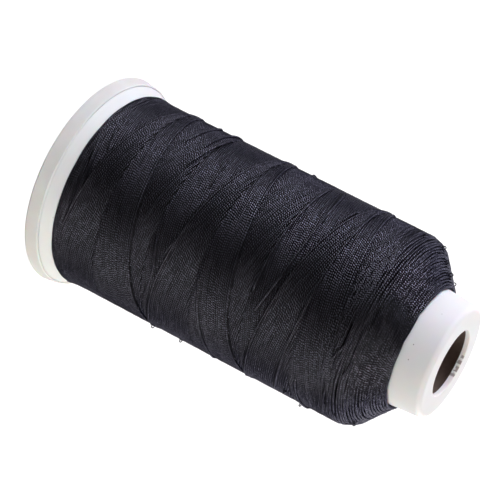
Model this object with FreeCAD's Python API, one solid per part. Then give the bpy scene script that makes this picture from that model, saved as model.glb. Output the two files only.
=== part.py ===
import FreeCAD, Part
import math
import os

# Spool of sewing thread standing on its wide base, in millimetres.
# +Z runs up the spool's axis, and the origin is the centre of the base's underside.

# Whole spool
spool_height = 115.0

# Snap base: the shallow cup under the flange, whose outer wall is the lowest band of the spool
foot_radius = 31.2
rim_radius = 30.6
base_height = 4.15
rim_width = 0.42
foot_width = 1.4
base_recess = 1.2
base_plate = 1.4
moulded_edge = 0.4
rib_count = 6
rib_width = 1.0
rib_depth = 0.7

# Hub of the snap base, which slides in the flange and latches above it
hub_wall = 1.5
hub_foot_height = 0.4
finger_count = 4
finger_slot = 2.6
finger_root = 2.4
barb_reach = 0.8
barb_flat = 0.65
barb_ramp = 1.8
base_travel = 3.0
travel_clearance = 0.05

# Bevelled flange at the wide end of the package
flange_face_height = 7.23
flange_bevel_foot = 4.2
flange_bevel_width = 1.62
flange_plate = 1.6
flange_skirt = 1.5
flange_boss_wall = 1.4
flange_boss_gap = 0.63

# Paper tube that the thread is wound on
tube_bore_radius = 13.0
tube_wall = 2.0
socket_wall = 1.35
socket_depth = 12.0

# Nose collar: the end cap at the narrow end
hole_radius = 9.4
collar_plate = 1.3
collar_wall = 0.85
collar_edge_round = 1.5
hole_edge_round = 0.2
collar_show = 8.6
collar_grip = 8.4
collar_taper = 0.0814
nub_angles = (79.0, 92.5, 103.0)
nub_radius = 0.35
nub_reach = 0.2
nub_height = 0.5

# Thread package
flange_land = 0.26
package_taper = 1.0
package_end_wall = 0.7
shoulder_drop = 11.4
shoulder_slope = 1.2
shoulder_round = 6.0

# Outermost turns of the package: rising strands lie under falling ones
strand = 0.5
strand_layer_gap = 0.65
rise_quarters = 11
fall_quarters = 12
traverse_pairs = 4
turns_end_margin = 0.7
tail_quarter = 0.22

# Clearances
rim_gap = 0.11
running_fit = 0.06
push_fit = 0.05
winding_gap = 0.1

# Sizes that follow from those above
base_floor = base_recess + base_plate
cup_radius = rim_radius - rim_width
hub_radius = hole_radius + hub_wall
flange_radius = cup_radius - rim_gap
flange_face_radius = flange_radius - flange_bevel_width
flange_bore_radius = hub_radius + running_fit
tube_radius = tube_bore_radius + tube_wall
socket_bore_radius = tube_radius + push_fit
collar_front_radius = socket_bore_radius + collar_wall
collar_plate_height = spool_height - collar_plate
collar_foot_height = spool_height - collar_show - collar_grip
package_foot_radius = flange_face_radius - flange_land
package_shoulder_radius = package_foot_radius - package_taper
package_top_height = spool_height - collar_show
package_top_radius = collar_front_radius + collar_show * collar_taper + package_end_wall
package_shoulder_height = package_top_height - shoulder_drop
barb_height = flange_face_height + base_travel + travel_clearance
layer_step = strand + strand_layer_gap
package_core_depth = strand + layer_step + winding_gap

UP = FreeCAD.Vector(0, 0, 1)
AXIS_FOOT = FreeCAD.Vector(0, 0, 0)


def outline(corners):
    """Closed wire in the XZ plane through corners of (radius, height, rounding)."""
    points = [FreeCAD.Vector(radius, 0, height) for radius, height, rounding in corners]
    stretches = []
    for index, (radius, height, rounding) in enumerate(corners):
        here = points[index]
        if not rounding:
            stretches.append([here])
            continue
        back = (points[index - 1] - here).normalize()
        ahead = (points[(index + 1) % len(points)] - here).normalize()
        half = back.getAngle(ahead) / 2
        reach = rounding / math.tan(half)
        inward = (back + ahead).normalize()
        middle = here + inward * (rounding / math.sin(half) - rounding)
        stretches.append([here + back * reach, middle, here + ahead * reach])
    edges = []
    for stretch, following in zip(stretches, stretches[1:] + stretches[:1]):
        if len(stretch) == 3:
            edges.append(Part.Arc(*stretch).toShape())
        edges.append(Part.LineSegment(stretch[-1], following[0]).toShape())
    return Part.Wire(edges)


def lathe(corners):
    """Solid of revolution about the spool's axis from an outline's corners."""
    return Part.Face(outline(corners)).revolve(AXIS_FOOT, UP, 360)


def around(shape, count):
    """Copies of a shape spread evenly round the axis."""
    copies = []
    for index in range(count):
        copy = shape.copy()
        copy.rotate(AXIS_FOOT, UP, index * 360 / count)
        copies.append(copy)
    return copies


def make_snap_base():
    """Cup, ribbed plate and slotted hub with its latching barbs, in one moulding."""
    barb_radius = hub_radius + barb_reach
    barb_top = barb_height + barb_flat + barb_ramp
    cup = lathe([
        (foot_radius, 0, moulded_edge),
        (rim_radius, base_height, moulded_edge),
        (cup_radius, base_height, 0),
        (cup_radius, base_floor, 0),
        (hub_radius, base_floor, 0),
        (hub_radius, barb_height, 0),
        (barb_radius, barb_height, 0),
        (barb_radius, barb_height + barb_flat, 0),
        (hub_radius - barb_reach / 2, barb_top, 0),
        (hole_radius, barb_top, 0),
        (hole_radius, hub_foot_height, 0),
        (hub_radius, hub_foot_height, 0),
        (hub_radius, base_recess, 0),
        (foot_radius - foot_width, base_recess, 0),
        (foot_radius - foot_width, 0, 0),
    ])
    rib_length = foot_radius - foot_width / 2 - hub_radius + hub_wall / 2
    rib = Part.makeBox(rib_length, rib_width, rib_depth + base_plate / 2)
    rib.translate(FreeCAD.Vector(hub_radius - hub_wall / 2, -rib_width / 2, base_recess - rib_depth))
    slot_foot = base_floor + finger_root
    slot = Part.makeBox(hub_radius + barb_reach + 1, finger_slot, barb_top - slot_foot + 1)
    slot.translate(FreeCAD.Vector(0, -finger_slot / 2, slot_foot))
    return cup.fuse(around(rib, rib_count)).cut(around(slot, finger_count)).removeSplitter()


def make_base_flange():
    """Bevelled flange with its skirt, the boss that guides the hub, and the tube's socket."""
    boss_radius = flange_bore_radius + flange_boss_wall
    under_plate = flange_face_height - flange_plate
    boss_foot = base_floor + flange_boss_gap
    socket_radius = socket_bore_radius + socket_wall
    socket_top = flange_face_height + socket_depth
    return lathe([
        (flange_bore_radius, boss_foot, 0),
        (boss_radius, boss_foot, 0),
        (boss_radius, under_plate, 0),
        (flange_radius - flange_skirt, under_plate, 0),
        (flange_radius - flange_skirt, base_floor, 0),
        (flange_radius, base_floor, 0),
        (flange_radius, flange_bevel_foot, 0),
        (flange_face_radius, flange_face_height, 0),
        (socket_radius, flange_face_height, 0),
        (socket_radius, socket_top, 0),
        (socket_bore_radius, socket_top, 0),
        (socket_bore_radius, flange_face_height, 0),
        (flange_bore_radius, flange_face_height, 0),
    ])


def make_core_tube():
    """Paper tube between the flange's face and the underside of the collar's plate."""
    return lathe([
        (tube_bore_radius, flange_face_height, 0),
        (tube_radius, flange_face_height, 0),
        (tube_radius, collar_plate_height, 0),
        (tube_bore_radius, collar_plate_height, 0),
    ])


def collar_radius(height):
    """Outer radius of the slightly tapered collar at a height."""
    return collar_front_radius + (spool_height - height) * collar_taper


def make_nose_collar():
    """End cap with the spool's hole, pushed over the tube as far as its plate."""
    collar = lathe([
        (socket_bore_radius, collar_foot_height, 0),
        (collar_radius(collar_foot_height), collar_foot_height, 0),
        (collar_front_radius, spool_height, collar_edge_round),
        (hole_radius, spool_height, hole_edge_round),
        (hole_radius, collar_plate_height, 0),
        (socket_bore_radius, collar_plate_height, 0),
    ])
    nubs = []
    for angle in nub_angles:
        nub_foot = spool_height - hole_edge_round - nub_height
        place = FreeCAD.Vector(hole_radius + nub_radius - nub_reach, 0, nub_foot)
        nub = Part.makeCylinder(nub_radius, nub_height, place)
        nub.rotate(AXIS_FOOT, UP, angle)
        nubs.append(nub)
    return collar.fuse(nubs).removeSplitter()


class PackageProfile:
    """Side of the package, from the flange's face over the shoulder to the collar, at a depth."""

    def __init__(self):
        self.side_slope = (package_foot_radius - package_shoulder_radius) / (
            package_shoulder_height - flange_face_height)
        side_height = package_foot_radius + self.side_slope * flange_face_height
        top_height = package_top_radius + shoulder_slope * package_top_height
        self.corner_height = (top_height - side_height) / (shoulder_slope - self.side_slope)
        self.corner_radius = side_height - self.side_slope * self.corner_height
        self.side_angle = math.atan(self.side_slope)
        self.top_angle = math.atan(shoulder_slope)
        tangent = shoulder_round * math.tan((self.top_angle - self.side_angle) / 2)
        self.side_length = (self.corner_height - flange_face_height) / math.cos(self.side_angle) - tangent
        self.round_length = shoulder_round * (self.top_angle - self.side_angle)
        self.top_length = (package_top_height - self.corner_height) / math.cos(self.top_angle) - tangent
        self.length = self.side_length + self.round_length + self.top_length

    def place(self, along, depth):
        """Radius, height and lean of the side at a distance along it, some depth under the surface."""
        if along < self.side_length + self.round_length:
            lean = self.side_angle + max(0.0, along - self.side_length) / shoulder_round
            straight = min(along, self.side_length)
            radius = package_foot_radius - straight * math.sin(self.side_angle)
            height = flange_face_height + straight * math.cos(self.side_angle)
            radius += shoulder_round * (math.cos(lean) - math.cos(self.side_angle))
            height += shoulder_round * (math.sin(lean) - math.sin(self.side_angle))
        else:
            lean = self.top_angle
            left = self.length - along
            radius = package_top_radius + left * math.sin(lean)
            height = package_top_height - left * math.cos(lean)
        return radius - depth * math.cos(lean), height - depth * math.sin(lean), lean


def make_thread_package(profile):
    """Wound mass under the outermost turns, from the flange to the collar, round the tube."""
    socket_side = socket_bore_radius + socket_wall + winding_gap
    socket_end = flange_face_height + socket_depth + winding_gap
    skirt_foot = collar_foot_height - winding_gap
    bore = tube_radius + winding_gap
    depth = package_core_depth
    foot_radius_in = profile.place(0, depth)[0]
    corner_pull = math.tan((profile.top_angle - profile.side_angle) / 2) * depth
    corner_along = depth * math.cos(profile.side_angle) + corner_pull * math.sin(profile.side_angle)
    corner_up = corner_pull * math.cos(profile.side_angle) - depth * math.sin(profile.side_angle)
    corner = (profile.corner_radius - corner_along, profile.corner_height - corner_up)
    cone_line = package_top_radius - depth / math.cos(profile.top_angle)
    top_height = (cone_line + shoulder_slope * package_top_height - collar_front_radius - winding_gap
                  - collar_taper * spool_height) / (shoulder_slope - collar_taper)
    return lathe([
        (socket_side, flange_face_height, 0),
        (foot_radius_in, flange_face_height, 0),
        (corner[0], corner[1], shoulder_round - depth),
        (collar_radius(top_height) + winding_gap, top_height, 0),
        (collar_radius(skirt_foot) + winding_gap, skirt_foot, 0),
        (bore, skirt_foot, 0),
        (bore, socket_end, 0),
        (socket_side, socket_end, 0),
    ])


def on_package(profile, quarters, along, depth):
    """Point in space at a number of quarter turns, a distance along the side and a depth."""
    radius, height, lean = profile.place(along, depth)
    angle = quarters * math.pi / 2
    return FreeCAD.Vector(radius * math.cos(angle), radius * math.sin(angle), height)


def winding_direction(profile, quarters, along, depth, rise):
    """Direction of a strand that gains a rise along the side in each quarter turn."""
    radius, height, lean = profile.place(along, depth)
    angle = quarters * math.pi / 2
    outward = FreeCAD.Vector(math.cos(angle), math.sin(angle), 0)
    onward = FreeCAD.Vector(-math.sin(angle), math.cos(angle), 0) * (radius * math.pi / 2)
    uphill = (UP * math.cos(lean) - outward * math.sin(lean)) * rise
    return (onward + uphill).normalize()


def arc_middle(start, direction, end):
    """Middle of the arc that leaves a start along a direction and reaches an end, and its radius."""
    chord = end - start
    side = chord - direction * chord.dot(direction)
    radius = chord.dot(chord) / (2 * side.Length)
    centre = start + side.normalize() * radius
    return centre + ((start + end) * 0.5 - centre).normalize() * radius, radius


def biarc(start, start_direction, end, end_direction):
    """Two arcs that meet smoothly between two points with given directions."""
    chord = end - start
    both = start_direction + end_direction
    spread = 2 * (1 - start_direction.dot(end_direction))
    reach = (math.sqrt(chord.dot(both) ** 2 + spread * chord.dot(chord)) - chord.dot(both)) / spread
    joint = (start + end + (start_direction - end_direction) * reach) * 0.5
    first_middle, first_radius = arc_middle(start, start_direction, joint)
    second_middle, second_radius = arc_middle(end, end_direction * -1, joint)
    first = Part.Arc(start, first_middle, joint).toShape()
    second = Part.Arc(joint, second_middle, end).toShape()
    return [first, second], min(first_radius, second_radius)


def winding_stations(profile):
    """Stations of the strand: quarter turns, distance along the side, depth and rise."""
    upper_depth = strand / 2
    lower_depth = upper_depth + layer_step
    low = strand / 2 + turns_end_margin
    high = profile.length - strand / 2 - turns_end_margin
    stations = []
    quarter = 0
    for pair in range(traverse_pairs):
        for count, depth, way in ((rise_quarters, lower_depth, 1), (fall_quarters, upper_depth, -1)):
            # A strand turns back over one quarter turn, and swings a quarter of a rise past its ends
            rise = (high - low) / (count - 0.5)
            for step in range(count):
                travelled = (step + 0.25) * rise
                along = low + travelled if way > 0 else high - travelled
                stations.append((quarter + step + 1, along, depth, way * rise))
            quarter += count
    return stations


def make_outer_turns(profile):
    """One unbroken strand that winds up and down the package, both ends square on the flange."""
    stations = winding_stations(profile)
    points = [on_package(profile, *station[:3]) for station in stations]
    directions = [winding_direction(profile, *station) for station in stations]
    edges = []
    radii = []
    ends = []
    for index, sign in ((0, -1), (-1, 1)):
        quarters, along, depth, rise = stations[index]
        foot = on_package(profile, quarters + sign * tail_quarter, 0, depth)
        foot.z = flange_face_height
        ends.append((foot, foot + UP * strand))
    start_foot, start_top = ends[0]
    end_foot, end_top = ends[1]
    edges.append(Part.LineSegment(start_foot, start_top).toShape())
    points = [start_top] + points + [end_top]
    directions = [UP] + directions + [UP * -1]
    for index in range(len(points) - 1):
        pair, radius = biarc(points[index], directions[index], points[index + 1], directions[index + 1])
        edges.extend(pair)
        radii.append(radius)
    edges.append(Part.LineSegment(end_top, end_foot).toShape())
    path = Part.Wire(edges)
    section = Part.Wire([Part.makeCircle(strand / 2, start_foot, UP)])
    turns = Part.Solid(path.makePipeShell([section], True, False))
    loops = (stations[-1][0] - stations[0][0]) / 4
    print("outer turns: %.2f loops, %.0f mm long, least bend radius %.2f mm" % (loops, path.Length, min(radii)))
    print("outer turns: volume %.1f, section times length %.1f mm3"
          % (turns.Volume, math.pi * (strand / 2) ** 2 * path.Length))
    print("outer turns: least gap to itself %.2f mm" % least_gap(edges, strand))
    return turns


def least_gap(edges, width):
    """Least gap between parts of a strand that are more than a few widths apart along it."""
    sample_step = width / 2
    cell = 3 * width
    skip = 4 * width
    samples = []
    travelled = 0.0
    for edge in edges:
        count = max(2, int(edge.Length / sample_step))
        for number, point in enumerate(edge.discretize(Number=count + 1)[:-1]):
            samples.append((travelled + edge.Length * number / count, point))
        travelled += edge.Length
    grid = {}
    for place, point in samples:
        key = (int(point.x // cell), int(point.y // cell), int(point.z // cell))
        grid.setdefault(key, []).append((place, point))
    least = cell
    for (column, row, floor), members in grid.items():
        near = []
        for dx in (-1, 0, 1):
            for dy in (-1, 0, 1):
                for dz in (-1, 0, 1):
                    near.extend(grid.get((column + dx, row + dy, floor + dz), []))
        for place, point in members:
            for other_place, other in near:
                if other_place - place > skip:
                    least = min(least, point.distanceToPoint(other))
    return least - width


def main():
    os.makedirs("parts", exist_ok=True)
    profile = PackageProfile()
    pieces = {
        "snap_base": make_snap_base(),
        "base_flange": make_base_flange(),
        "core_tube": make_core_tube(),
        "nose_collar": make_nose_collar(),
        "thread_package": make_thread_package(profile),
        "outer_turns": make_outer_turns(profile),
    }
    for node, shape in pieces.items():
        box = shape.BoundBox
        print("%-15s valid %s, solids %d, volume %.1f mm3, z %.2f to %.2f" % (
            node, shape.isValid(), len(shape.Solids), shape.Volume, box.ZMin, box.ZMax))
        shape.exportStep(os.path.join("parts", node + ".step"))


main()
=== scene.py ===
# %% [markdown]
# # A wide-base spool of black sewing thread
# The spool is white plastic at both ends, with a brown paper tube inside and a package of shiny
# polyester thread wound crosswise on it. The plastic pieces and the tube come ready made from the
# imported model. This script gives them their finishes, and winds the thread that shows, strand by
# strand, the way a winding machine lays it.

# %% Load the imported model
import math

import bpy
import numpy as np
from mathutils import Matrix, Vector


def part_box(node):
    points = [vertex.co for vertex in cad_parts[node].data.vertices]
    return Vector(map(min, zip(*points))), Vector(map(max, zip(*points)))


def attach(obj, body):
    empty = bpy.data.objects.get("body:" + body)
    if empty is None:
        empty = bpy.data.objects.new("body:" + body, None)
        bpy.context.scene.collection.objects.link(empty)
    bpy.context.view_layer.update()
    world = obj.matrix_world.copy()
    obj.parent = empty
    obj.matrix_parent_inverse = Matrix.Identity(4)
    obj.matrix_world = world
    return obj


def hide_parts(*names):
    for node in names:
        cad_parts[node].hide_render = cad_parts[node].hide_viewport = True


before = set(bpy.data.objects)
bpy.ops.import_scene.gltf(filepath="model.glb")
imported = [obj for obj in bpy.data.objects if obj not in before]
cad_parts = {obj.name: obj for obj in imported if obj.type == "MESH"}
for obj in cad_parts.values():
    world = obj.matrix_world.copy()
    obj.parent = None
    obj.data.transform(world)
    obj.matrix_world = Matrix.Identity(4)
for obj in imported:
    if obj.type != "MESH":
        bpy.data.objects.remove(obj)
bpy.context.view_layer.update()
print("nodes:", sorted(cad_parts))

# %% [markdown]
# Everything below is worked out in millimetres, because thread is easier to think about that way.
# Blender works in metres here, so one value turns the one into the other. The sizes that the thread
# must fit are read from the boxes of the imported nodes, and the rest are named.

# %% Sizes of the package
MM = 0.001


def corners_mm(node):
    """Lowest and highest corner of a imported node, in millimetres."""
    low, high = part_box(node)
    return np.array(low) / MM, np.array(high) / MM


NOSE_REACH = 8.6                                 # height of the collar above the package
FLANGE_FACE = corners_mm("thread_package")[0][2]
PACKAGE_FOOT_RADIUS = 28.19
PACKAGE_TAPER = 1.0                              # radius lost on the way up to the shoulder
PACKAGE_END = corners_mm("nose_collar")[1][2] - NOSE_REACH
PACKAGE_END_RADIUS = 17.3
SHOULDER_DROP = 11.4                             # height of the shoulder
SHOULDER_SLOPE = 1.2                             # radius gained for each mm down its cone
SHOULDER_ROUND = 6.0
print("package from %.2f to %.2f mm above the table" % (FLANGE_FACE, PACKAGE_END))

# %% [markdown]
# The side of the package is a straight taper, a rounded shoulder and a steep cone that runs down to
# the collar. One function gives the radius, the height and the lean of that line at any distance
# along it, so strands can be laid along the side and over the shoulder with the same sums.

# %% The package's side as one line
side_lean = math.atan(PACKAGE_TAPER / (PACKAGE_END - SHOULDER_DROP - FLANGE_FACE))
cone_lean = math.atan(SHOULDER_SLOPE)
corner_z = (PACKAGE_END_RADIUS + SHOULDER_SLOPE * PACKAGE_END - PACKAGE_FOOT_RADIUS
            - math.tan(side_lean) * FLANGE_FACE) / (SHOULDER_SLOPE - math.tan(side_lean))
round_reach = SHOULDER_ROUND * math.tan((cone_lean - side_lean) / 2)
SIDE_LENGTH = (corner_z - FLANGE_FACE) / math.cos(side_lean) - round_reach
ROUND_LENGTH = SHOULDER_ROUND * (cone_lean - side_lean)
CONE_LENGTH = (PACKAGE_END - corner_z) / math.cos(cone_lean) - round_reach
PACKAGE_LENGTH = SIDE_LENGTH + ROUND_LENGTH + CONE_LENGTH


def side_at(along, depth):
    """Radius and height of the package's side at distances along it and depths under it, in mm."""
    along = np.asarray(along, float)
    lean = side_lean + np.clip(along - SIDE_LENGTH, 0, ROUND_LENGTH) / SHOULDER_ROUND
    straight = np.minimum(along, SIDE_LENGTH)
    cone = np.clip(along - SIDE_LENGTH - ROUND_LENGTH, 0, None)
    radius = PACKAGE_FOOT_RADIUS - straight * math.sin(side_lean)
    radius = radius + SHOULDER_ROUND * (np.cos(lean) - math.cos(side_lean))
    radius = radius - cone * math.sin(cone_lean)
    height = FLANGE_FACE + straight * math.cos(side_lean)
    height = height + SHOULDER_ROUND * (np.sin(lean) - math.sin(side_lean))
    height = height + cone * math.cos(cone_lean)
    return radius - depth * np.cos(lean), height - depth * np.sin(lean)


print("side %.1f mm, shoulder %.1f mm, cone %.1f mm" % (SIDE_LENGTH, ROUND_LENGTH, CONE_LENGTH))

# %% [markdown]
# ## The camera and the light
# The photograph looks at the spool through a long lens, about 0.44 m away, and the picture is
# turned so that the standing spool lies down to the right. The camera's place and turn were worked
# out from the outlines of the base, the collar and the hole. Its three axes are built from three
# angles.

# %% The camera
SEAM_HEIGHT = 3.75
CAMERA_DISTANCE = 407.9
CAMERA_RISE = 211.2
CAMERA_YAW = -0.0056
CAMERA_PITCH = -0.3814
CAMERA_ROLL = 2.0449
LENS_MM = 117.18
SENSOR_MM = 36.0


def turned_camera():
    """Camera of the photograph: its right, up and back axes make the columns of its matrix."""
    ahead = Vector((math.sin(CAMERA_YAW) * math.cos(CAMERA_PITCH),
                    math.cos(CAMERA_YAW) * math.cos(CAMERA_PITCH),
                    math.sin(CAMERA_PITCH)))
    level = Vector((math.cos(CAMERA_YAW), -math.sin(CAMERA_YAW), 0))
    above = level.cross(ahead)
    right = math.cos(CAMERA_ROLL) * level + math.sin(CAMERA_ROLL) * above
    up = -math.sin(CAMERA_ROLL) * level + math.cos(CAMERA_ROLL) * above
    data = bpy.data.cameras.new("camera")
    data.lens = LENS_MM
    data.sensor_width = SENSOR_MM
    data.clip_start = 0.01
    camera = bpy.data.objects.new("camera", data)
    place = Vector((0, -CAMERA_DISTANCE, CAMERA_RISE + SEAM_HEIGHT)) * MM
    turn = Matrix((right, up, -ahead)).transposed()
    camera.matrix_world = Matrix.Translation(place) @ turn.to_4x4()
    bpy.context.scene.collection.objects.link(camera)
    return camera


camera = turned_camera()
bpy.context.scene.camera = camera
bpy.context.scene.view_settings.view_transform = "Standard"
picture_up = camera.matrix_world.to_3x3() @ Vector((0, 1, 0))
toward_camera = camera.matrix_world.to_3x3() @ Vector((0, 0, 1))
print("picture up", [round(v, 2) for v in picture_up],
      "toward camera", [round(v, 2) for v in toward_camera])

# %% [markdown]
# ## Materials
# Colours are written as sRGB hex values, as a paint chart or a picture editor shows them, and one
# function turns them into the linear values that the shader needs. Another small function adds a
# node with its settings and its links, so each material reads as a short list of steps.

# %% Two helpers for materials


def linear(colour):
    """Linear red, green, blue and alpha of an sRGB hex colour."""
    parts = [int(colour[i:i + 2], 16) / 255 for i in (1, 3, 5)]
    return [p / 12.92 if p <= 0.04045 else ((p + 0.055) / 1.055) ** 2.4 for p in parts] + [1.0]


def add(tree, kind, settings=None, **links):
    """Adds a node; settings fill its properties or sockets, links name the sockets to join."""
    node = tree.nodes.new(kind)
    for name, value in (settings or {}).items():
        if isinstance(name, str) and hasattr(node, name):
            setattr(node, name, value)
        else:
            node.inputs[name].default_value = value
    for name, source in links.items():
        key = int(name[1:]) if name[1:].isdigit() else name.replace("_", " ")
        tree.links.new(source, node.inputs[key])
    return node


def new_material(name):
    """Empty material with a Principled shader on its output, and that shader."""
    material = bpy.data.materials.new(name)
    material.use_nodes = True
    tree = material.node_tree
    tree.nodes.clear()
    shader = add(tree, "ShaderNodeBsdfPrincipled")
    add(tree, "ShaderNodeOutputMaterial", Surface=shader.outputs[0])
    return material, tree, shader

# %% [markdown]
# The white pieces are injection-moulded polypropylene, a slightly waxy, slightly see-through
# plastic. Its surface is smooth but never flat: the mould's spark-eroded face leaves a fine grain,
# and thick places sink a little as they cool. A touch of subsurface light gives the waxy look, two
# noises give the bump, and a pattern of cells scatters the odd speck of dust that clings to such
# plastic.

# %% Moulded white plastic
MOULD_GRAIN_MM = 0.35
GRAIN_DEPTH_MM = 0.02
MOULD_WAVE_MM = 9.0
SINK_DEPTH_MM = 0.35
DUST_SPACING_MM = 7.0
DUST_CORE, DUST_EDGE = 0.016, 0.03               # as shares of the spacing
POLYPROPYLENE_IOR = 1.49
WAXY_DEPTH_MM = 2.0


def moulded_polypropylene(name, colour, shade, roughness):
    """White moulded plastic: its colour, the shade its unevenness drifts to, and a roughness."""
    material, tree, shader = new_material(name)
    place = add(tree, "ShaderNodeTexCoord")
    wave = add(tree, "ShaderNodeTexNoise", {"Scale": 1 / (MOULD_WAVE_MM * MM), "Detail": 2.0},
               Vector=place.outputs["Object"])
    grain = add(tree, "ShaderNodeTexNoise", {"Scale": 1 / (MOULD_GRAIN_MM * MM), "Detail": 3.0},
                Vector=place.outputs["Object"])
    tint = add(tree, "ShaderNodeMix", {"data_type": "RGBA", 6: linear(colour), 7: linear(shade)},
               _0=wave.outputs["Fac"])
    speck = add(tree, "ShaderNodeTexVoronoi", {"Scale": 1 / (DUST_SPACING_MM * MM),
                                               "Randomness": 1.0}, Vector=place.outputs["Object"])
    dust_and_seam_shade = add(tree, "ShaderNodeMapRange", {"From Min": DUST_CORE, "From Max": DUST_EDGE,
                                            "To Min": 0.55, "To Max": 0.0},
               Value=speck.outputs["Distance"])
    dusty = add(tree, "ShaderNodeMix", {"data_type": "RGBA", 7: linear("#8a857c")},
                _0=dust_and_seam_shade.outputs[0], _6=tint.outputs[2])
    tree.links.new(dusty.outputs[2], shader.inputs["Base Color"])
    gloss = add(tree, "ShaderNodeMapRange", {"To Min": roughness - 0.05,
                                             "To Max": roughness + 0.08},
                Value=grain.outputs["Fac"])
    tree.links.new(gloss.outputs[0], shader.inputs["Roughness"])
    sink = add(tree, "ShaderNodeBump", {"Strength": 0.12, "Distance": SINK_DEPTH_MM * MM},
               Height=wave.outputs["Fac"])
    bump = add(tree, "ShaderNodeBump", {"Strength": 0.1, "Distance": GRAIN_DEPTH_MM * MM},
               Height=grain.outputs["Fac"], Normal=sink.outputs[0])
    tree.links.new(bump.outputs[0], shader.inputs["Normal"])
    shader.inputs["IOR"].default_value = POLYPROPYLENE_IOR
    shader.inputs["Subsurface Weight"].default_value = 0.3
    shader.inputs["Subsurface Scale"].default_value = WAXY_DEPTH_MM * MM
    return material


# The three pieces are one white plastic: the flange and the base are painted lighter and the collar
# darker, painted light and painted shade for how the light falls on each
cap_white = moulded_polypropylene("polypropylene_cap", "#e8e8e8", "#dfdedd", 0.5)
flange_white = moulded_polypropylene("polypropylene_flange", "#f0efed", "#e6e4e1", 0.4)
base_white = moulded_polypropylene("polypropylene_base", "#f3f0ec", "#dddad5", 0.44)
white_pieces = {"nose_collar": cap_white, "base_flange": flange_white, "snap_base": base_white}
for node, material in white_pieces.items():
    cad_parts[node].data.materials.clear()
    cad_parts[node].data.materials.append(material)
print("white plastic on the collar, the flange and the base")

# %% [markdown]
# Three places of the white pieces are painted unlike the rest. Where the flange stands in the base,
# a brown hairline of painted shade stands for the shadow in the seam. The ring of the base beside
# it is painted lighter, a painted highlight on its rounded edge. In the collar's hole, where it was
# cut free of its runner, the wall is painted lighter, painted light for the light that reaches into
# the hole, and the plastic between the three small nubs is painted grey, painted shade beside the
# nubs.
# Each one is a mask over the piece's own height, radius or angle, and a colour that is laid over
# the white where the mask is 1. Two dark specks of dirt on the collar's side are laid on in the
# same way, each by its distance from a point.

# %% Painted shade in the seam, a painted highlight on the edge, painted light and shade in the hole
BASE_TOP = corners_mm("snap_base")[1][2]
PAINTED_EDGE_MM = 0.3
SEAM_SHADE_MM = 0.38
ABOVE_BASE_MM = 1.0                              # past the base, so its mask has no upper edge
BORE_WALL_RADIUS = 9.45
NUB_ANGLES = (79.0, 92.5, 103.0)
NUB_CLEAR, NUB_FADE = 1.4, 3.0                   # degrees either side of a nub
POCKETS_FROM, POCKETS_TO = 73.0, 109.0
RAGGED_EDGE_MM = 1.6
RAGGED_REACH_MM = 2.4
POCKET_SHADE_FROM, POCKET_SHADE_TO = 115.2, 120.0                # height plus up to RAGGED_REACH_MM of noise
COLLAR_SPECKS_MM = ((0.14, -16.44, 108.30), (4.04, -15.90, 108.75))
SPECK_RADIUS_MM = 0.19


def lay_colour(material, mask, colour):
    """Lays a colour over the material where the mask socket is 1."""
    tree = material.node_tree
    shader = next(node for node in tree.nodes if node.type == "BSDF_PRINCIPLED")
    under = shader.inputs["Base Color"].links[0].from_socket
    over = add(tree, "ShaderNodeMix", {"data_type": "RGBA", 7: linear(colour)}, _0=mask, _6=under)
    tree.links.new(over.outputs[2], shader.inputs["Base Color"])


def band(tree, value, low, high, soft):
    """Mask that is 1 from low to high and fades to 0 over the soft width outside them."""
    up = add(tree, "ShaderNodeMapRange", {"From Min": low - soft, "From Max": low}, Value=value)
    down = add(tree, "ShaderNodeMapRange", {"From Min": high, "From Max": high + soft,
                                            "To Min": 1.0, "To Max": 0.0}, Value=value)
    both = add(tree, "ShaderNodeMath", {"operation": "MULTIPLY"},
               _0=up.outputs[0], _1=down.outputs[0])
    return both.outputs[0]


def millimetres(tree):
    """Height, radius and angle in degrees of the shaded point, on the piece's own axes."""
    place = add(tree, "ShaderNodeTexCoord")
    axes = add(tree, "ShaderNodeSeparateXYZ", _0=place.outputs["Object"])
    height = add(tree, "ShaderNodeMath", {"operation": "DIVIDE", 1: MM}, _0=axes.outputs[2])
    flat = add(tree, "ShaderNodeCombineXYZ", _0=axes.outputs[0], _1=axes.outputs[1])
    length = add(tree, "ShaderNodeVectorMath", {"operation": "LENGTH"}, _0=flat.outputs[0])
    radius = add(tree, "ShaderNodeMath", {"operation": "DIVIDE", 1: MM}, _0=length.outputs["Value"])
    turn = add(tree, "ShaderNodeMath", {"operation": "ARCTAN2"},
               _0=axes.outputs[1], _1=axes.outputs[0])
    angle = add(tree, "ShaderNodeMath", {"operation": "MULTIPLY", 1: 180 / math.pi},
                _0=turn.outputs[0])
    return height.outputs[0], radius.outputs[0], angle.outputs[0]


edge_from = BASE_TOP - PAINTED_EDGE_MM
tree = flange_white.node_tree
height = millimetres(tree)[0]
# Painted shade: a brown hairline on the flange stands for the shadow in the seam with the base
dust_and_seam_shade = band(tree, height, edge_from, BASE_TOP + SEAM_SHADE_MM, soft=0.1)
lay_colour(flange_white, dust_and_seam_shade, "#85705f")

tree = base_white.node_tree
height = millimetres(tree)[0]
# Painted highlight: the top ring of the base is painted lighter for the light on its rounded edge
edge_highlight = band(tree, height, edge_from, BASE_TOP + ABOVE_BASE_MM, soft=0.15)
lay_colour(base_white, edge_highlight, "#fbf9f6")

tree = cap_white.node_tree
height, radius, angle = millimetres(tree)
# Painted light: the wall of the hole is painted lighter than the rest of the collar, for light
# reaching into it
bore = band(tree, radius, 0.0, BORE_WALL_RADIUS, soft=0.1)
lay_colour(cap_white, bore, "#efebe7")
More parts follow.
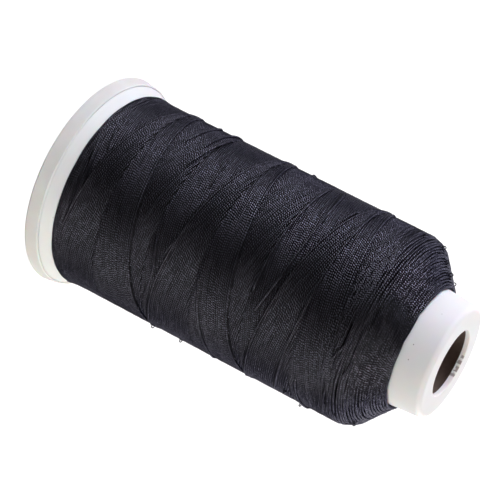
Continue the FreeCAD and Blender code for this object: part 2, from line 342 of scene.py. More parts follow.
# Painted shade: the plastic beside the three nubs in the hole is painted grey for the shade there,
# with a ragged upper edge from noise
pocket_shade = band(tree, angle, POCKETS_FROM, POCKETS_TO, soft=2.0)
for nub in NUB_ANGLES:
    away = add(tree, "ShaderNodeMath", {"operation": "SUBTRACT", 1: nub}, _0=angle)
    aside = add(tree, "ShaderNodeMath", {"operation": "ABSOLUTE"}, _0=away.outputs[0])
    clear = add(tree, "ShaderNodeMapRange", {"From Min": NUB_CLEAR, "From Max": NUB_FADE},
                Value=aside.outputs[0])
    pocket_shade = add(tree, "ShaderNodeMath", {"operation": "MULTIPLY"},
                  _0=pocket_shade, _1=clear.outputs[0]).outputs[0]
place = add(tree, "ShaderNodeTexCoord")
ragged_edge = add(tree, "ShaderNodeTexNoise", {"Scale": 1 / (RAGGED_EDGE_MM * MM), "Detail": 3.0},
           Vector=place.outputs["Object"])
ragged = add(tree, "ShaderNodeMath", {"operation": "MULTIPLY_ADD", 1: RAGGED_REACH_MM},
             _0=ragged_edge.outputs["Fac"], _2=height)
for mask in (bore, band(tree, ragged.outputs[0], POCKET_SHADE_FROM, POCKET_SHADE_TO, soft=0.15)):
    pocket_shade = add(tree, "ShaderNodeMath", {"operation": "MULTIPLY"},
                  _0=pocket_shade, _1=mask).outputs[0]
lay_colour(cap_white, pocket_shade, "#aaa49e")
for speck in COLLAR_SPECKS_MM:
    apart = add(tree, "ShaderNodeVectorMath", {"operation": "DISTANCE", 1: Vector(speck) * MM},
                _0=place.outputs["Object"])
    spot = add(tree, "ShaderNodeMapRange", {"From Min": 0.5 * SPECK_RADIUS_MM * MM,
                                            "From Max": SPECK_RADIUS_MM * MM,
                                            "To Min": 0.9, "To Max": 0.0},
               Value=apart.outputs["Value"])
    lay_colour(cap_white, spot.outputs[0], "#4a4642")
print("seam at %.2f mm, %d nubs in the hole" % (BASE_TOP, len(NUB_ANGLES)))

# %% [markdown]
# The tube is wound from strips of brown kraft paper. Seen close, such board is a matte mass of
# short fibres, with a faint spiral line where one strip ends and the next begins. The spiral is
# worked out from the tube's own angle and height, so its slope is the slope of a real paper strip.

# %% Wound kraft paper
PAPER_STRIP_MM = 52.0
PAPER_FIBRE_MM = 0.9
FIBRE_DEPTH_MM = 0.06
JOINT_WIDTH = 0.012                              # as a share of the strip


def wound_kraft_paper():
    """Matte brown board with fibres and the spiral joint of its strips."""
    material, tree, shader = new_material("wound_kraft_paper")
    place = add(tree, "ShaderNodeTexCoord")
    axes = add(tree, "ShaderNodeSeparateXYZ", _0=place.outputs["Object"])
    angle = add(tree, "ShaderNodeMath", {"operation": "ARCTAN2"},
                _0=axes.outputs[1], _1=axes.outputs[0])
    turn = add(tree, "ShaderNodeMath", {"operation": "DIVIDE", 1: 2 * math.pi}, _0=angle.outputs[0])
    climb = add(tree, "ShaderNodeMath", {"operation": "DIVIDE", 1: PAPER_STRIP_MM * MM},
                _0=axes.outputs[2])
    spiral = add(tree, "ShaderNodeMath", {"operation": "ADD"},
                 _0=turn.outputs[0], _1=climb.outputs[0])
    strip = add(tree, "ShaderNodeMath", {"operation": "FRACT"}, _0=spiral.outputs[0])
    joint = add(tree, "ShaderNodeMapRange", {"From Min": 0.0, "From Max": JOINT_WIDTH,
                                             "To Min": 1.0, "To Max": 0.0},
                Value=strip.outputs[0])
    fibre = add(tree, "ShaderNodeTexNoise", {"Scale": 1 / (PAPER_FIBRE_MM * MM), "Detail": 6.0,
                                             "Roughness": 0.65}, Vector=place.outputs["Object"])
    board = add(tree, "ShaderNodeMix", {"data_type": "RGBA", 6: linear("#9b877a"),
                                        7: linear("#73645c")}, _0=fibre.outputs["Fac"])
    jointed = add(tree, "ShaderNodeMix", {"data_type": "RGBA", 7: linear("#57493f")},
                  _0=joint.outputs[0], _6=board.outputs[2])
    tree.links.new(jointed.outputs[2], shader.inputs["Base Color"])
    bump = add(tree, "ShaderNodeBump", {"Strength": 0.4, "Distance": FIBRE_DEPTH_MM * MM},
               Height=fibre.outputs["Fac"])
    tree.links.new(bump.outputs[0], shader.inputs["Normal"])
    shader.inputs["Roughness"].default_value = 0.88
    return material


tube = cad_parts["core_tube"]
tube.data.materials.clear()
tube.data.materials.append(wound_kraft_paper())
print("kraft paper on the core tube")

# %% [markdown]
# The thread is trilobal polyester: a few dozen shiny filaments, twisted into plies, and the plies
# twisted into a strand. A black one shows hardly any colour of its own. Its filaments have flat
# facets that face every way, so it shines about as strongly face on as edge on, like black metal
# leaf and unlike smooth plastic, whose shine grows toward the rim. So the shader's metallic lobe
# stands in for the facets, with a dark colour and a darker edge tint. What the eye sees is a row of
# glints on each strand, one to a crest of a ply, and no two alike. They run along the strand by its
# UV map: U is millimetres along the strand and V is one turn around it.

# %% Black polyester thread
THREAD_PLIES = 2
PLY_TURN_MM = 1.3
THREAD_FILAMENTS = 9
THREAD_ROUGHNESS = 0.24
CREST_SHARPNESS = 3.8
GLINT_RARITY = 1.5
DULLEST_GLINT = 0.25
PLY_DEPTH_MM = 0.055
FILAMENT_DEPTH_MM = 0.012
FILAMENT_TURN_MM = -3 * PLY_TURN_MM              # filaments are twisted the other way


def twist_phase(tree, along, around, count, pitch):
    """How many helical grooves have been crossed; count run side by side, one turn per pitch."""
    turns = add(tree, "ShaderNodeMath", {"operation": "DIVIDE", 1: pitch}, _0=along)
    lay = add(tree, "ShaderNodeMath", {"operation": "ADD"}, _0=turns.outputs[0], _1=around)
    return add(tree, "ShaderNodeMath", {"operation": "MULTIPLY", 1: count}, _0=lay.outputs[0])


def groove_wave(tree, phase):
    """Wave from 0 in each groove to 1 on each crest."""
    angle = add(tree, "ShaderNodeMath", {"operation": "MULTIPLY", 1: 2 * math.pi},
                _0=phase.outputs[0])
    wave = add(tree, "ShaderNodeMath", {"operation": "COSINE"}, _0=angle.outputs[0])
    return add(tree, "ShaderNodeMath", {"operation": "MULTIPLY_ADD", 1: -0.5, 2: 0.5},
               _0=wave.outputs[0])


def trilobal_polyester():
    """Black twisted filament thread, whose colour paints a glint of its own amount on every crest
    of a ply and shade in the grooves.
    """
    material, tree, shader = new_material("trilobal_polyester_thread")
    uv = add(tree, "ShaderNodeUVMap", {"uv_map": "lay"})
    axes = add(tree, "ShaderNodeSeparateXYZ", _0=uv.outputs[0])
    along, around = axes.outputs[0], axes.outputs[1]
    tone = add(tree, "ShaderNodeAttribute", {"attribute_name": "tone"})
    phase = twist_phase(tree, along, around, THREAD_PLIES, PLY_TURN_MM)
    plies = groove_wave(tree, phase)
    filaments = groove_wave(tree, twist_phase(tree, along, around, THREAD_FILAMENTS,
                                              FILAMENT_TURN_MM))
    crest = add(tree, "ShaderNodeMath", {"operation": "FLOOR"}, _0=phase.outputs[0])
    cell = add(tree, "ShaderNodeCombineXYZ", _0=crest.outputs[0], _1=tone.outputs["Fac"])
    chance = add(tree, "ShaderNodeTexWhiteNoise", {"noise_dimensions": "2D"},
                 Vector=cell.outputs[0])
    # Painted glints and painted shade: the reflectance colour is near black in the grooves between
    # plies for their shade, and each crest's own level stands for how its facets catch the light
    crown = add(tree, "ShaderNodeMath", {"operation": "POWER", 1: CREST_SHARPNESS},
                _0=plies.outputs[0])
    rare = add(tree, "ShaderNodeMath", {"operation": "POWER", 1: GLINT_RARITY},
               _0=chance.outputs["Value"])
    uneven = add(tree, "ShaderNodeMapRange", {"To Min": DULLEST_GLINT, "To Max": 1.0},
                 Value=rare.outputs[0])
    glint = add(tree, "ShaderNodeMath", {"operation": "MULTIPLY"},
                _0=crown.outputs[0], _1=uneven.outputs[0])
    shine = add(tree, "ShaderNodeMix", {"data_type": "RGBA", 6: linear("#0b0b0d"),
                                        7: linear("#888793")}, _0=glint.outputs[0])
    tree.links.new(shine.outputs[2], shader.inputs["Base Color"])
    ply_bump = add(tree, "ShaderNodeBump", {"Strength": 1.0, "Distance": PLY_DEPTH_MM * MM},
                   Height=plies.outputs[0])
    bump = add(tree, "ShaderNodeBump", {"Strength": 0.35, "Distance": FILAMENT_DEPTH_MM * MM},
               Height=filaments.outputs[0], Normal=ply_bump.outputs[0])
    tree.links.new(bump.outputs[0], shader.inputs["Normal"])
    shader.inputs["Metallic"].default_value = 1.0
    shader.inputs["Specular Tint"].default_value = linear("#b4b4bc")
    shader.inputs["Roughness"].default_value = THREAD_ROUGHNESS
    return material


thread_black = trilobal_polyester()
print("thread: %d plies, one twist every %.2f mm" % (THREAD_PLIES, PLY_TURN_MM))

# %% [markdown]
# ## Winding the thread
# A strand is a tube that follows a path. Blender could bevel a curve, but so much thread is quicker
# and lighter as a few meshes made straight from arrays. Each ring of the tube is set square to the
# path, with its first point turned away from the spool's axis. Ends are closed. A strand that is
# wound under tension is pressed wider than it is high, so its rings can be spread sideways.

# %% Tubes along paths
STRAND_SIDES = 6
TIGHTEST_TWIST, TWIST_PLAY = 0.78, 0.44          # how much the length of a twist differs
STRAND_OFFSET_MM = 97.0                          # starts each strand's pattern elsewhere


def ring_frames(path):
    """Outward and sideways directions at each point of a path that lies round the Z axis."""
    along = np.gradient(path, axis=0)
    along /= np.linalg.norm(along, axis=1)[:, None]
    outward = path * np.array([1.0, 1.0, 0.0])
    outward -= along * (outward * along).sum(1)[:, None]
    outward /= np.linalg.norm(outward, axis=1)[:, None]
    return outward, np.cross(along, outward)


def strands_to_mesh(name, paths, radius, tones, spread=1.0):
    """One mesh of closed tubes along paths in mm, with the lay UV map and each strand's tone."""
    turn = np.arange(STRAND_SIDES) * 2 * math.pi / STRAND_SIDES
    points, faces, lay, tone = [], [], [], []
    first = 0
    for path, shade in zip(paths, tones):
        outward, sideways = ring_frames(path)
        thick = np.cos(turn)[None, :, None] * outward[:, None]
        wide = spread * np.sin(turn)[None, :, None] * sideways[:, None]
        rings = path[:, None] + radius * (thick + wide)
        count = len(path)
        points.append(rings.reshape(-1, 3))
        tone.append(np.full(count * STRAND_SIDES, shade))
        steps = np.linalg.norm(np.diff(path, axis=0), axis=1)
        travelled = np.concatenate([[0], np.cumsum(steps)]) / (TIGHTEST_TWIST + TWIST_PLAY * shade)
        travelled = travelled + STRAND_OFFSET_MM * shade
        ring, side = np.meshgrid(np.arange(count - 1), np.arange(STRAND_SIDES), indexing="ij")
        here = first + ring * STRAND_SIDES + side
        beside = first + ring * STRAND_SIDES + (side + 1) % STRAND_SIDES
        quads = np.stack([here, beside, beside + STRAND_SIDES, here + STRAND_SIDES], -1)
        faces.extend(quads.reshape(-1, 4).tolist())
        near, far = travelled[ring], travelled[ring + 1]
        left, right = side / STRAND_SIDES, (side + 1) / STRAND_SIDES
        lay.append(np.stack([near, left, near, right, far, right, far, left], -1).reshape(-1, 2))
        last = first + (count - 1) * STRAND_SIDES
        for start, order, place in ((first, -1, travelled[0]), (last, 1, travelled[-1])):
            faces.append([start + side for side in range(STRAND_SIDES)][::order])
            lay.append(np.full((STRAND_SIDES, 2), [place, 0.5]))
        first += count * STRAND_SIDES
    mesh = bpy.data.meshes.new(name)
    mesh.from_pydata((np.concatenate(points) * MM).tolist(), [], faces)
    layer = mesh.uv_layers.new(name="lay")
    layer.data.foreach_set("uv", np.concatenate(lay).ravel().astype(np.float32))
    attribute = mesh.attributes.new("tone", "FLOAT", "POINT")
    attribute.data.foreach_set("value", np.concatenate(tone).astype(np.float32))
    mesh.shade_smooth()
    piece = bpy.data.objects.new(name, mesh)
    bpy.context.scene.collection.objects.link(piece)
    mesh.materials.append(thread_black)
    length = sum(np.linalg.norm(np.diff(p, axis=0), axis=1).sum() for p in paths) / 1000
    print("%-20s %5d stretches, %5.1f m, %6d faces" % (name, len(paths), length, len(faces)))
    return piece


# %% [markdown]
# A winding machine turns the spool while a guide carries the thread up and down it. Here the guide
# goes from end to end in three turns, so it climbs 31 mm in a turn. After each trip up and down,
# the machine has turned a hair too little, so the next strand lies just beside the last. After 54
# trips the gap between two turns is full, and the next round lies on top. The real thread is 0.25
# to 0.3 mm thick and would need twice the trips. That is too fine to show here, where a point of
# the picture covers 0.27 mm, so the strand is drawn as coarse as it needs to be to show: 0.54 mm.
#
# So the age of the top strand is known at every place: it grows from 0 to 1 as we go down from the
# newest rising strand, and in the same way as we go up from the newest falling strand. Of the two
# families, the younger strand is the one on top. That gives the diamonds: sharp slanted edges at
# the newest strands, and soft toothed edges where both are the same age.

# %% How the machine laid the thread
CLIMB = 31.0                                     # mm up the side in a turn
TRIPS = 54
STRAND_RADIUS = 0.27
STRAND_SPREAD = 1.4
NEWEST_RISING = 60.3 - FLANGE_FACE               # where it crosses the side nearest the camera
NEWEST_FALLING = 43.7 - FLANGE_FACE
LOW_TURN = 5.5 - FLANGE_FACE
TURNS_PER_TRIP = 3
EARLY_TURN = 0.16                                # a trip ends up to this many turns early
ROUND_THICKNESS = 0.6                            # depth from the newest strands to the oldest
TOP_LIFT = 0.44                                  # every strand is lifted this far out
UNDER_DROP = 0.48                                # depth of a dive under another strand
LAST_PLAY = 0.14                                 # the newest strand has slipped this far aside
FOOT_PILE = 0.18                                 # thread piled up against the flange
FOOT_PILE_MM = 4.5
STEP_MM = 0.7                                    # between the points of a path
TURN_BEND = (0.09, 0.16)                         # turns over which the guide slows at each end
LOW_END_MM, HIGH_END_MM = 3.4, 3.0               # there both families show
DIVE_POINTS = 3                                  # points over which a strand dips under another
DEPTH_JITTER, DEPTH_WANDER = 0.012, 0.015
LANE_JITTER, LANE_WANDER = 0.02, 0.03
WANDER_SHARES = (0.55, 0.3, 0.15)
WANDER_WAVES = (0.7, 7.0)                        # waves in a turn
SHORTEST_RUN = 4                                 # points

rng = np.random.default_rng(11)


def age_of_rising(along, angle):
    """Age of the rising strand at a place; angles are in turns from the side nearest the camera."""
    return ((NEWEST_RISING + CLIMB * angle - along) / CLIMB) % 1


def age_of_falling(along, angle):
    """Age of the falling strand at a place."""
    return ((along - NEWEST_FALLING + CLIMB * angle) / CLIMB) % 1


def on_package(along, turns, depth):
    """Points in mm on the package; turns are counted from the side nearest the camera."""
    pile = FOOT_PILE * np.exp(-(np.asarray(along) / FOOT_PILE_MM) ** 2)
    radius, height = side_at(along, depth - TOP_LIFT - pile)
    angle = 2 * math.pi * turns - math.pi / 2
    return np.stack([radius * np.cos(angle), radius * np.sin(angle), height], -1)


def guide_path(trip, rising):
    """Turns and distance along the side for one leg of a trip, with its rounded ends."""
    age = (trip + 0.5) / TRIPS
    bend = rng.uniform(*TURN_BEND)
    climb_span = TURNS_PER_TRIP - rng.uniform(0, EARLY_TURN)
    travelled = np.arange(0, climb_span, STEP_MM / (2 * math.pi * PACKAGE_FOOT_RADIUS))
    along = LOW_TURN + CLIMB * travelled
    low_bend = np.clip(bend - travelled, 0, None)
    high_bend = np.clip(bend - (climb_span - travelled), 0, None)
    along = along + CLIMB * (low_bend ** 2 - high_bend ** 2) / (2 * bend)
    if rising:
        return (LOW_TURN - NEWEST_RISING) / CLIMB + age + travelled, along, age
    return (NEWEST_FALLING - LOW_TURN) / CLIMB + age - travelled, along, age


def wander(turns, size):
    """Slow sideways wander of a strand, in mm, as tension and the guide's play vary."""
    total = np.zeros_like(turns)
    for share in WANDER_SHARES:
        total += share * np.sin(2 * math.pi * (turns * rng.uniform(*WANDER_WAVES) + rng.uniform()))
    return size * total


def visible_runs(keep):
    """First and last index of each unbroken run of kept points."""
    edges = np.flatnonzero(np.diff(np.concatenate([[0], keep.astype(int), [0]])))
    return [(a, b) for a, b in zip(edges[::2], edges[1::2]) if b - a >= SHORTEST_RUN]


def lay_family(rising):
    """All stretches of one family of strands that lie on top, and a tone for each."""
    even = np.ones(2 * DIVE_POINTS + 1) / (2 * DIVE_POINTS + 1)
    paths, tones = [], []
    for trip in range(TRIPS):
        turns, along, age = guide_path(trip, rising)
        other = age_of_falling(along, turns) if rising else age_of_rising(along, turns)
        near_end = (along < LOW_TURN + LOW_END_MM) | (along > along.max() - HIGH_END_MM)
        over = np.pad(((other > age) | near_end).astype(float), DIVE_POINTS, mode="edge")
        ease = np.convolve(over, even, mode="valid")
        keep = ease > 0
        depth = STRAND_RADIUS + ROUND_THICKNESS * (age + other) / 2 + UNDER_DROP * (1 - ease)
        depth = depth + rng.normal(0, DEPTH_JITTER) + wander(turns, DEPTH_WANDER)
        along = along + rng.normal(0, LANE_JITTER) + wander(turns, LANE_WANDER)
        if trip == 0:
            depth = depth - LAST_PLAY / 2
            along = along + (LAST_PLAY if rising else -LAST_PLAY)
        along = np.clip(along, STRAND_RADIUS, None)
        points = on_package(along, turns, depth)
        shade = rng.beta(2, 2)
        for a, b in visible_runs(keep):
            paths.append(points[a:b])
            tones.append(shade)
    return paths, tones


def wind_pieces(name, paths, tones, count):
    """Meshes that share the strands out, each with nearly the same length of thread."""
    reach = np.cumsum([len(path) for path in paths])
    owner = np.minimum(reach * count // (reach[-1] + 1), count - 1)
    made = []
    for number in range(count):
        mine = np.flatnonzero(owner == number)
        made.append(strands_to_mesh("%s_%d" % (name, number + 1), [paths[i] for i in mine],
                                    STRAND_RADIUS, [tones[i] for i in mine], STRAND_SPREAD))
    return made


winding_pieces = []
for family, rising in (("rising", True), ("falling", False)):
    paths, tones = lay_family(rising)
    winding_pieces += wind_pieces(family + "_strands", paths, tones, 4)

# %% [markdown]
# At the shoulder the guide turns back. Each round of the package turns back a little earlier than
# the one under it, so the cone is a flight of such turning places, about 0.8 mm apart. There a
# strand runs almost straight round the spool: it comes up from under its neighbours, bends over and
# dives again. At the foot every round turns against the flange, so the turning places lie close
# together.

# %% Turning strands at both ends
ROUND_SPACING = 0.78                             # from one round's turning places to the next's
ROUND_STEP = 0.75                                # depth that a strand dives in that distance
SHOULDER_LIFT, SHOULDER_SAG = -0.35, 0.2         # how far out arcs lie, and their play
SHOULDER_MARGIN = 0.25
TURNS_BACK_MM = 5.0                              # from the guide's turn down to the lowest of them
TURNS_BACK_FROM = LOW_TURN + TURNS_PER_TRIP * CLIMB - TURNS_BACK_MM
ARCS_PER_ROUND = 34
FOOT_ROUNDS = 5
FOOT_SPACING = 0.45
FOOT_LIFT, FOOT_SAG = -0.1, 0.15
ARC_RADIUS = 24.0                                # the shoulder's, near enough to space points
ARC_BEND = (0.1, 0.17)                           # turns over which a strand turns back
ARC_FALL = (1.0, 1.5)                            # mm from its crown down to its ends
ARC_WANDER = 0.04
DIVE_CURVE = 0.9
END_MARGIN = 0.1
CROWN_PLAY = 0.34
TURN_ON = 0.37                                   # turns from one round's first arc to the next's


def turning_arc(crown, centre, way, lift):
    """One strand that turns back at the crown; way is 1 where it turns back downwards."""
    sharpness = CLIMB / (2 * rng.uniform(*ARC_BEND))
    reach = math.sqrt(rng.uniform(*ARC_FALL) / sharpness)
    offset = np.arange(-reach, reach, STEP_MM / (2 * math.pi * ARC_RADIUS))
    fall = sharpness * offset ** 2
    depth = STRAND_RADIUS - lift + ROUND_STEP * (fall / ROUND_SPACING) ** DIVE_CURVE
    along = np.clip(crown - way * fall + wander(offset, ARC_WANDER),
                    STRAND_RADIUS, PACKAGE_LENGTH - END_MARGIN)
    return on_package(along, centre + offset, depth)


def lay_turns(rounds, crown_at, way, lift, sag):
    """Arcs of thread where the strands turn back, one round after another."""
    paths, tones = [], []
    for number in range(rounds):
        for arc in range(ARCS_PER_ROUND):
            centre = (arc + rng.uniform(-0.5, 0.5)) / ARCS_PER_ROUND + number * TURN_ON
            crown = crown_at(number) - way * rng.uniform(0, CROWN_PLAY)
            paths.append(turning_arc(crown, centre, way, lift - rng.uniform(0, sag)))
            tones.append(rng.beta(2, 2))
    return paths, tones


shoulder_rounds = int((PACKAGE_LENGTH - TURNS_BACK_FROM) / ROUND_SPACING) + 1
paths, tones = lay_turns(shoulder_rounds,
                         lambda n: PACKAGE_LENGTH - SHOULDER_MARGIN - n * ROUND_SPACING,
                         1, SHOULDER_LIFT, SHOULDER_SAG)
winding_pieces += wind_pieces("shoulder_strands", paths, tones, 3)
paths, tones = lay_turns(FOOT_ROUNDS, lambda n: STRAND_RADIUS + n * FOOT_SPACING,
                         -1, FOOT_LIFT, FOOT_SAG)
winding_pieces += wind_pieces("foot_strands", paths, tones, 1)

# %% [markdown]
# A real spool is never quite even. Here and there a strand slipped out of its lane before the next
# ones held it. It lies on top of the others and crosses their lanes, and it draws a fine bright
# line with a dark one beside it. Where a strand ran slack, a small loop stands off the package. The
# strays on the side that the photograph shows lie where it shows them, and the others are spread by
# chance.

# %% Strays and loops
STRAYS = [                                       # degrees from and to, mm along from and to, bow
    (-169, -65, 62.8, 62.8, 4.2), (-161, -75, 60.5, 60.5, 0.3), (-160, -12, 74.8, 70.5, 2.6),
    (-78, -38, 30.2, 30.0, 2.2), (-160, -118, 29.8, 26.8, 0.6), (-176, -131, 21.8, 21.2, 1.0),
    (-138, -113, 34.5, 36.5, 0.0), (-74, -4, 45.2, 51.0, 0.3), (-83, -70, 35.8, 34.0, 0.0),
    (-115, -66, 1.5, 3.5, 1.8), (-123, -104, 3.8, 7.0, 0.0), (-150, -134, 71.8, 70.5, 0.0),
    (-78, -60, 89.5, 86.2, 0.0), (-65, -53, 91.5, 90.0, 0.0), (-40, 4, 78.0, 79.5, -0.6),
]
LOOPS = [                                        # degrees round, mm along
    (-18, 74.2), (-4.5, 77.5), (-4, 93.0), (-4.5, 39.2), (-4.5, 30.0),
    (-176, 92.8), (-176.5, 96.5), (-177, 100.0),
]
CHANCE_STRAYS, CHANCE_LOOPS = 14, 9
STRAYS_START, LOOPS_LIE = (10, 150), (10, 170)   # degrees, on the side away from the camera
STRAY_ENDS_CLEAR = 4                             # mm from both ends of the side
STRAY_SPAN = (15, 80)                            # degrees
STRAY_RISE, STRAY_BOW = (-3, 3), (-2, 2)         # mm
STRAY_RADIUS = 28                                # the package's, near enough to space points
STRAY_WANDER = 0.12
STRAY_LEVEL = 0.15                               # mean depth of a stray
STRAY_LIFT, STRAY_DIVE = 0.3, 0.3                # its middle lies above that, its ends below
STRAY_END_POINTS = 3
LOOPS_FROM, LOOPS_CLEAR = 5, 3                   # mm along, mm short of the package's end
LOOP_RADIUS = 0.42
LOOP_SIZES = (0.75, 1.2)
LOOP_STRAND_RADIUS = 0.15
LOOP_HEADING = (0.9, 1.5)                        # radians from the way round the spool
LOOP_RISE = 0.6                                  # how high its middle stands, in its own radii
LOOP_BEND = np.radians(np.linspace(-60, 240, 13))
LOOP_LEAD = np.array([-2.0, -1.2, -0.5])         # where the slack strand comes up
LOOP_LEAD_SINK = np.array([-0.6, -0.35, -0.1])
LOOP_DRIFT = 0.2                                 # its ends pass each other this far aside
HAIR_TURN = 0.001                                # a step that only gives the way round


def stray_path(start, stop, low, high, bow):
    """A strand on top of the others, whose ends dive under them."""
    turns = (np.arange(start, stop, math.degrees(STEP_MM / STRAY_RADIUS)) + 90) / 360
    share = np.linspace(0, 1, len(turns))
    along = low + (high - low) * share + 4 * bow * share * (1 - share)
    along = along + wander(turns, STRAY_WANDER)
    to_end = np.minimum(np.arange(len(turns)), np.arange(len(turns))[::-1])
    on_top = np.clip(to_end / STRAY_END_POINTS, 0, 1)
    depth = STRAND_RADIUS + STRAY_LEVEL - STRAY_LIFT * on_top + STRAY_DIVE * (1 - on_top)
    return on_package(along, turns, depth)


def loop_path(degrees, along):
    """A slack strand that comes up, turns once round in the air and goes back under."""
    turn = (degrees + 90) / 360
    here, above, beside = on_package(np.full(3, along), np.array([turn, turn, turn + HAIR_TURN]),
                                     STRAND_RADIUS - np.array([0, 1, 0]))
    up = (above - here) / np.linalg.norm(above - here)
    round_way = (beside - here) / np.linalg.norm(beside - here)
    axial = np.cross(round_way, up)
    heading = rng.uniform(*LOOP_HEADING)
    forth = math.cos(heading) * round_way + math.sin(heading) * axial
    aside = np.cross(forth, up)
    size = LOOP_RADIUS * rng.uniform(*LOOP_SIZES)
    ahead = np.concatenate([LOOP_LEAD, size * np.cos(LOOP_BEND), -LOOP_LEAD[::-1]])
    tall = np.concatenate([LOOP_LEAD_SINK, size * (LOOP_RISE + np.sin(LOOP_BEND)),
                           LOOP_LEAD_SINK[::-1]])
    drift = np.linspace(-LOOP_DRIFT, LOOP_DRIFT, len(ahead))
    return here + ahead[:, None] * forth + tall[:, None] * up + drift[:, None] * aside


paths = [stray_path(*stray) for stray in STRAYS]
for number in range(CHANCE_STRAYS):
    start = rng.uniform(*STRAYS_START)
    middle = rng.uniform(STRAY_ENDS_CLEAR, SIDE_LENGTH - STRAY_ENDS_CLEAR)
    paths.append(stray_path(start, start + rng.uniform(*STRAY_SPAN), middle,
                            middle + rng.uniform(*STRAY_RISE), rng.uniform(*STRAY_BOW)))
winding_pieces += wind_pieces("stray_strands", paths, rng.beta(2, 2, len(paths)), 1)
paths = [loop_path(*place) for place in LOOPS]
for number in range(CHANCE_LOOPS):
    paths.append(loop_path(rng.uniform(*LOOPS_LIE),
                           rng.uniform(LOOPS_FROM, PACKAGE_LENGTH - LOOPS_CLEAR)))
winding_pieces.append(strands_to_mesh("slack_loops", paths, LOOP_STRAND_RADIUS,
                                      rng.beta(2, 2, len(paths))))

# %% [markdown]
# Under the strands that are drawn one by one lies the rest of the package. It shows only as
# darkness between them, so it is one turned body, a little under the surface, with the same thread
# finish.

# %% The body of the package
CORE_DEPTH = 0.75
CORE_SEGMENTS = 128
CORE_BORE_RADIUS = 17.45
SIDE_RINGS, SHOULDER_RINGS = 40, 24


def package_body():
    """Closed turned body of the package under its outer strands."""
    along = np.concatenate([np.linspace(0, SIDE_LENGTH, SIDE_RINGS),
                            np.linspace(SIDE_LENGTH, PACKAGE_LENGTH, SHOULDER_RINGS)[1:]])
    radius, height = side_at(along, CORE_DEPTH)
    radius = np.concatenate([[CORE_BORE_RADIUS], radius, [CORE_BORE_RADIUS]])
    height = np.concatenate([[FLANGE_FACE], np.clip(height, FLANGE_FACE, None), [height[-1]]])
    turn = np.arange(CORE_SEGMENTS) * 2 * math.pi / CORE_SEGMENTS
    points = np.stack([radius[:, None] * np.cos(turn), radius[:, None] * np.sin(turn),
                       np.repeat(height[:, None], CORE_SEGMENTS, 1)], -1)
    rows = len(radius)
    faces = []
    for row in range(rows):
        for side in range(CORE_SEGMENTS):
            beside, above = (side + 1) % CORE_SEGMENTS, (row + 1) % rows
            faces.append([row * CORE_SEGMENTS + side, row * CORE_SEGMENTS + beside,
                          above * CORE_SEGMENTS + beside, above * CORE_SEGMENTS + side])
    mesh = bpy.data.meshes.new("package_body")
    mesh.from_pydata((points.reshape(-1, 3) * MM).tolist(), [], faces)
    mesh.shade_smooth()
    mesh.materials.append(thread_black)
    piece = bpy.data.objects.new("package_body", mesh)
    bpy.context.scene.collection.objects.link(piece)
    return piece


body = package_body()
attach(body, "spool")
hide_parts("thread_package")
for piece in winding_pieces:
    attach(piece, "spool")
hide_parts("outer_turns")
print("winding pieces:", len(winding_pieces))

# %% [markdown]
# ## Floor and world
# The photograph is a product shot on white: soft light comes from the left, the right and behind
# the spool, and the room behind the photographer is dark. That darkness is what draws the black
# band along the middle of the thread. The world is the studio here: black, with a soft round glow
# in each direction that light comes from. A glow falls off as the exponential of the cosine of the
# angle between its direction and the ray's, which leaves no edge to show in the shine of the
# thread. The camera sees plain white instead. The floor is a dull grey to all other rays, so that
# it doesn't light the black band, and is lifted to white for the camera, with the spool's shadow on
# it.

# %% The floor
FLOOR_HALF = 4.0
CAMERA_LIFT = 0.85


def white_floor():
    """Pale floor that keeps the spool's shadow; the camera sees it lifted to white."""
    mesh = bpy.data.meshes.new("floor")
    corners = ((-1, -1), (1, -1), (1, 1), (-1, 1))
    mesh.from_pydata([(x * FLOOR_HALF, y * FLOOR_HALF, 0) for x, y in corners], [], [(0, 1, 2, 3)])
    floor = bpy.data.objects.new("floor", mesh)
    bpy.context.scene.collection.objects.link(floor)
    material = bpy.data.materials.new("white_paper_floor")
    material.use_nodes = True
    tree = material.node_tree
    tree.nodes.clear()
    paper = add(tree, "ShaderNodeBsdfDiffuse", {"Color": linear("#a0a0a0")})
    ray = add(tree, "ShaderNodeLightPath")
    lift = add(tree, "ShaderNodeMath", {"operation": "MULTIPLY", 1: CAMERA_LIFT},
               _0=ray.outputs["Is Camera Ray"])
    glow = add(tree, "ShaderNodeEmission", Strength=lift.outputs[0])
    both = add(tree, "ShaderNodeAddShader", _0=paper.outputs[0], _1=glow.outputs[0])
    add(tree, "ShaderNodeOutputMaterial", Surface=both.outputs[0])
    mesh.materials.append(material)


white_floor()
print("floor is", 2 * FLOOR_HALF, "m wide")

# %% The world
GLOW_SHARPNESS = 18.0
WINDOW_TINT = (0.985, 0.975, 1.06)
LAMP_TINT = (1.03, 1.0, 0.96)
GLOWS = [                                        # direction towards the light, brightness, tint
    ((-0.84, -0.49, 0.22), 4.8, WINDOW_TINT),    # left: the cool window side
    ((-0.98, -0.17, 0.09), 3.6, WINDOW_TINT),
    ((-0.95, 0.04, 0.31), 0.4, WINDOW_TINT),
    ((-0.60, -0.72, 0.35), 0.35, WINDOW_TINT),
    ((0.95, -0.21, 0.24), 4.4, LAMP_TINT),       # right: the neutral side
    ((0.84, -0.53, 0.11), 2.6, LAMP_TINT),
    ((0.38, 0.02, 0.93), 3.3, LAMP_TINT),        # above
    ((0.61, 0.79, 0.08), 5.2, LAMP_TINT),        # behind: draws the rims of the spool
    ((0.29, 0.93, 0.21), 2.4, LAMP_TINT),
    ((-0.26, 0.96, 0.13), 1.5, WINDOW_TINT),
    ((-0.56, 0.79, 0.26), 1.6, WINDOW_TINT),
    ((-0.74, 0.67, 0.04), 1.4, WINDOW_TINT),
    ((-0.76, 0.53, 0.39), 1.2, WINDOW_TINT),
]


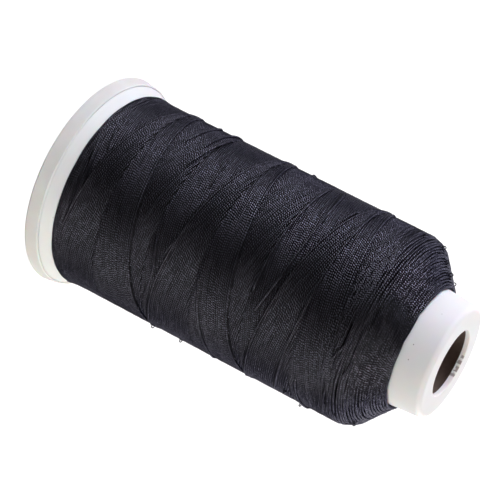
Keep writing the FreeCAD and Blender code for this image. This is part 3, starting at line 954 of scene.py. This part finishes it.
def studio_world(glows, sharpness):
    """White to the camera; round soft glows on black for every other ray."""
    world = bpy.data.worlds.new("studio")
    bpy.context.scene.world = world
    world.use_nodes = True
    tree = world.node_tree
    tree.nodes.clear()
    place = add(tree, "ShaderNodeTexCoord")
    total = None
    for direction, brightness, tint in glows:
        way = Vector(direction).normalized()
        facing = add(tree, "ShaderNodeVectorMath", {"operation": "DOT_PRODUCT", 1: way},
                     _0=place.outputs["Generated"])
        fall = add(tree, "ShaderNodeMath", {"operation": "MULTIPLY_ADD",
                                            1: sharpness, 2: -sharpness},
                   _0=facing.outputs["Value"])
        spot = add(tree, "ShaderNodeMath", {"operation": "EXPONENT"}, _0=fall.outputs[0])
        colour = [brightness * part for part in tint]
        glow = add(tree, "ShaderNodeVectorMath", {"operation": "SCALE", 0: colour},
                   Scale=spot.outputs[0])
        total = glow if total is None else add(tree, "ShaderNodeVectorMath", {"operation": "ADD"},
                                               _0=total.outputs[0], _1=glow.outputs[0])
    light = add(tree, "ShaderNodeBackground", Color=total.outputs[0])
    white = add(tree, "ShaderNodeBackground", {"Color": (1, 1, 1, 1), "Strength": 1.0})
    ray = add(tree, "ShaderNodeLightPath")
    pick = add(tree, "ShaderNodeMixShader", _0=ray.outputs["Is Camera Ray"], _1=light.outputs[0],
               _2=white.outputs[0])
    add(tree, "ShaderNodeOutputWorld", Surface=pick.outputs[0])


studio_world(GLOWS, GLOW_SHARPNESS)
print(len(GLOWS), "glows around the spool")

# %% [markdown]
# The photo's upper fields grow brighter toward the nose. A glow in the world is the same all along
# the spool, so this takes one small round lamp close by, on the window side.

# %% The lamp beside the nose
LAMP_AIM_MM = Vector((-25.0, -11.0, 90.0))
LAMP_WAY = Vector((-0.89, -0.20, 0.40)).normalized()
LAMP_FAR_MM = 150.0
LAMP_WIDE_MM = 100.0
LAMP_WATTS = 0.075
LAMP_COLOUR = (0.94, 0.93, 1.12)


def nose_lamp():
    """Disc lamp that faces the point it aims at."""
    light = bpy.data.lights.new("nose_lamp", "AREA")
    light.shape = "DISK"
    light.size = LAMP_WIDE_MM * MM
    light.energy = LAMP_WATTS
    light.color = LAMP_COLOUR
    lamp = bpy.data.objects.new("nose_lamp", light)
    bpy.context.scene.collection.objects.link(lamp)
    lamp.location = (LAMP_AIM_MM + LAMP_WAY * LAMP_FAR_MM) * MM
    lamp.rotation_euler = LAMP_WAY.to_track_quat("Z", "Y").to_euler()


nose_lamp()
print("lamp %.0f mm from the nose" % LAMP_FAR_MM)
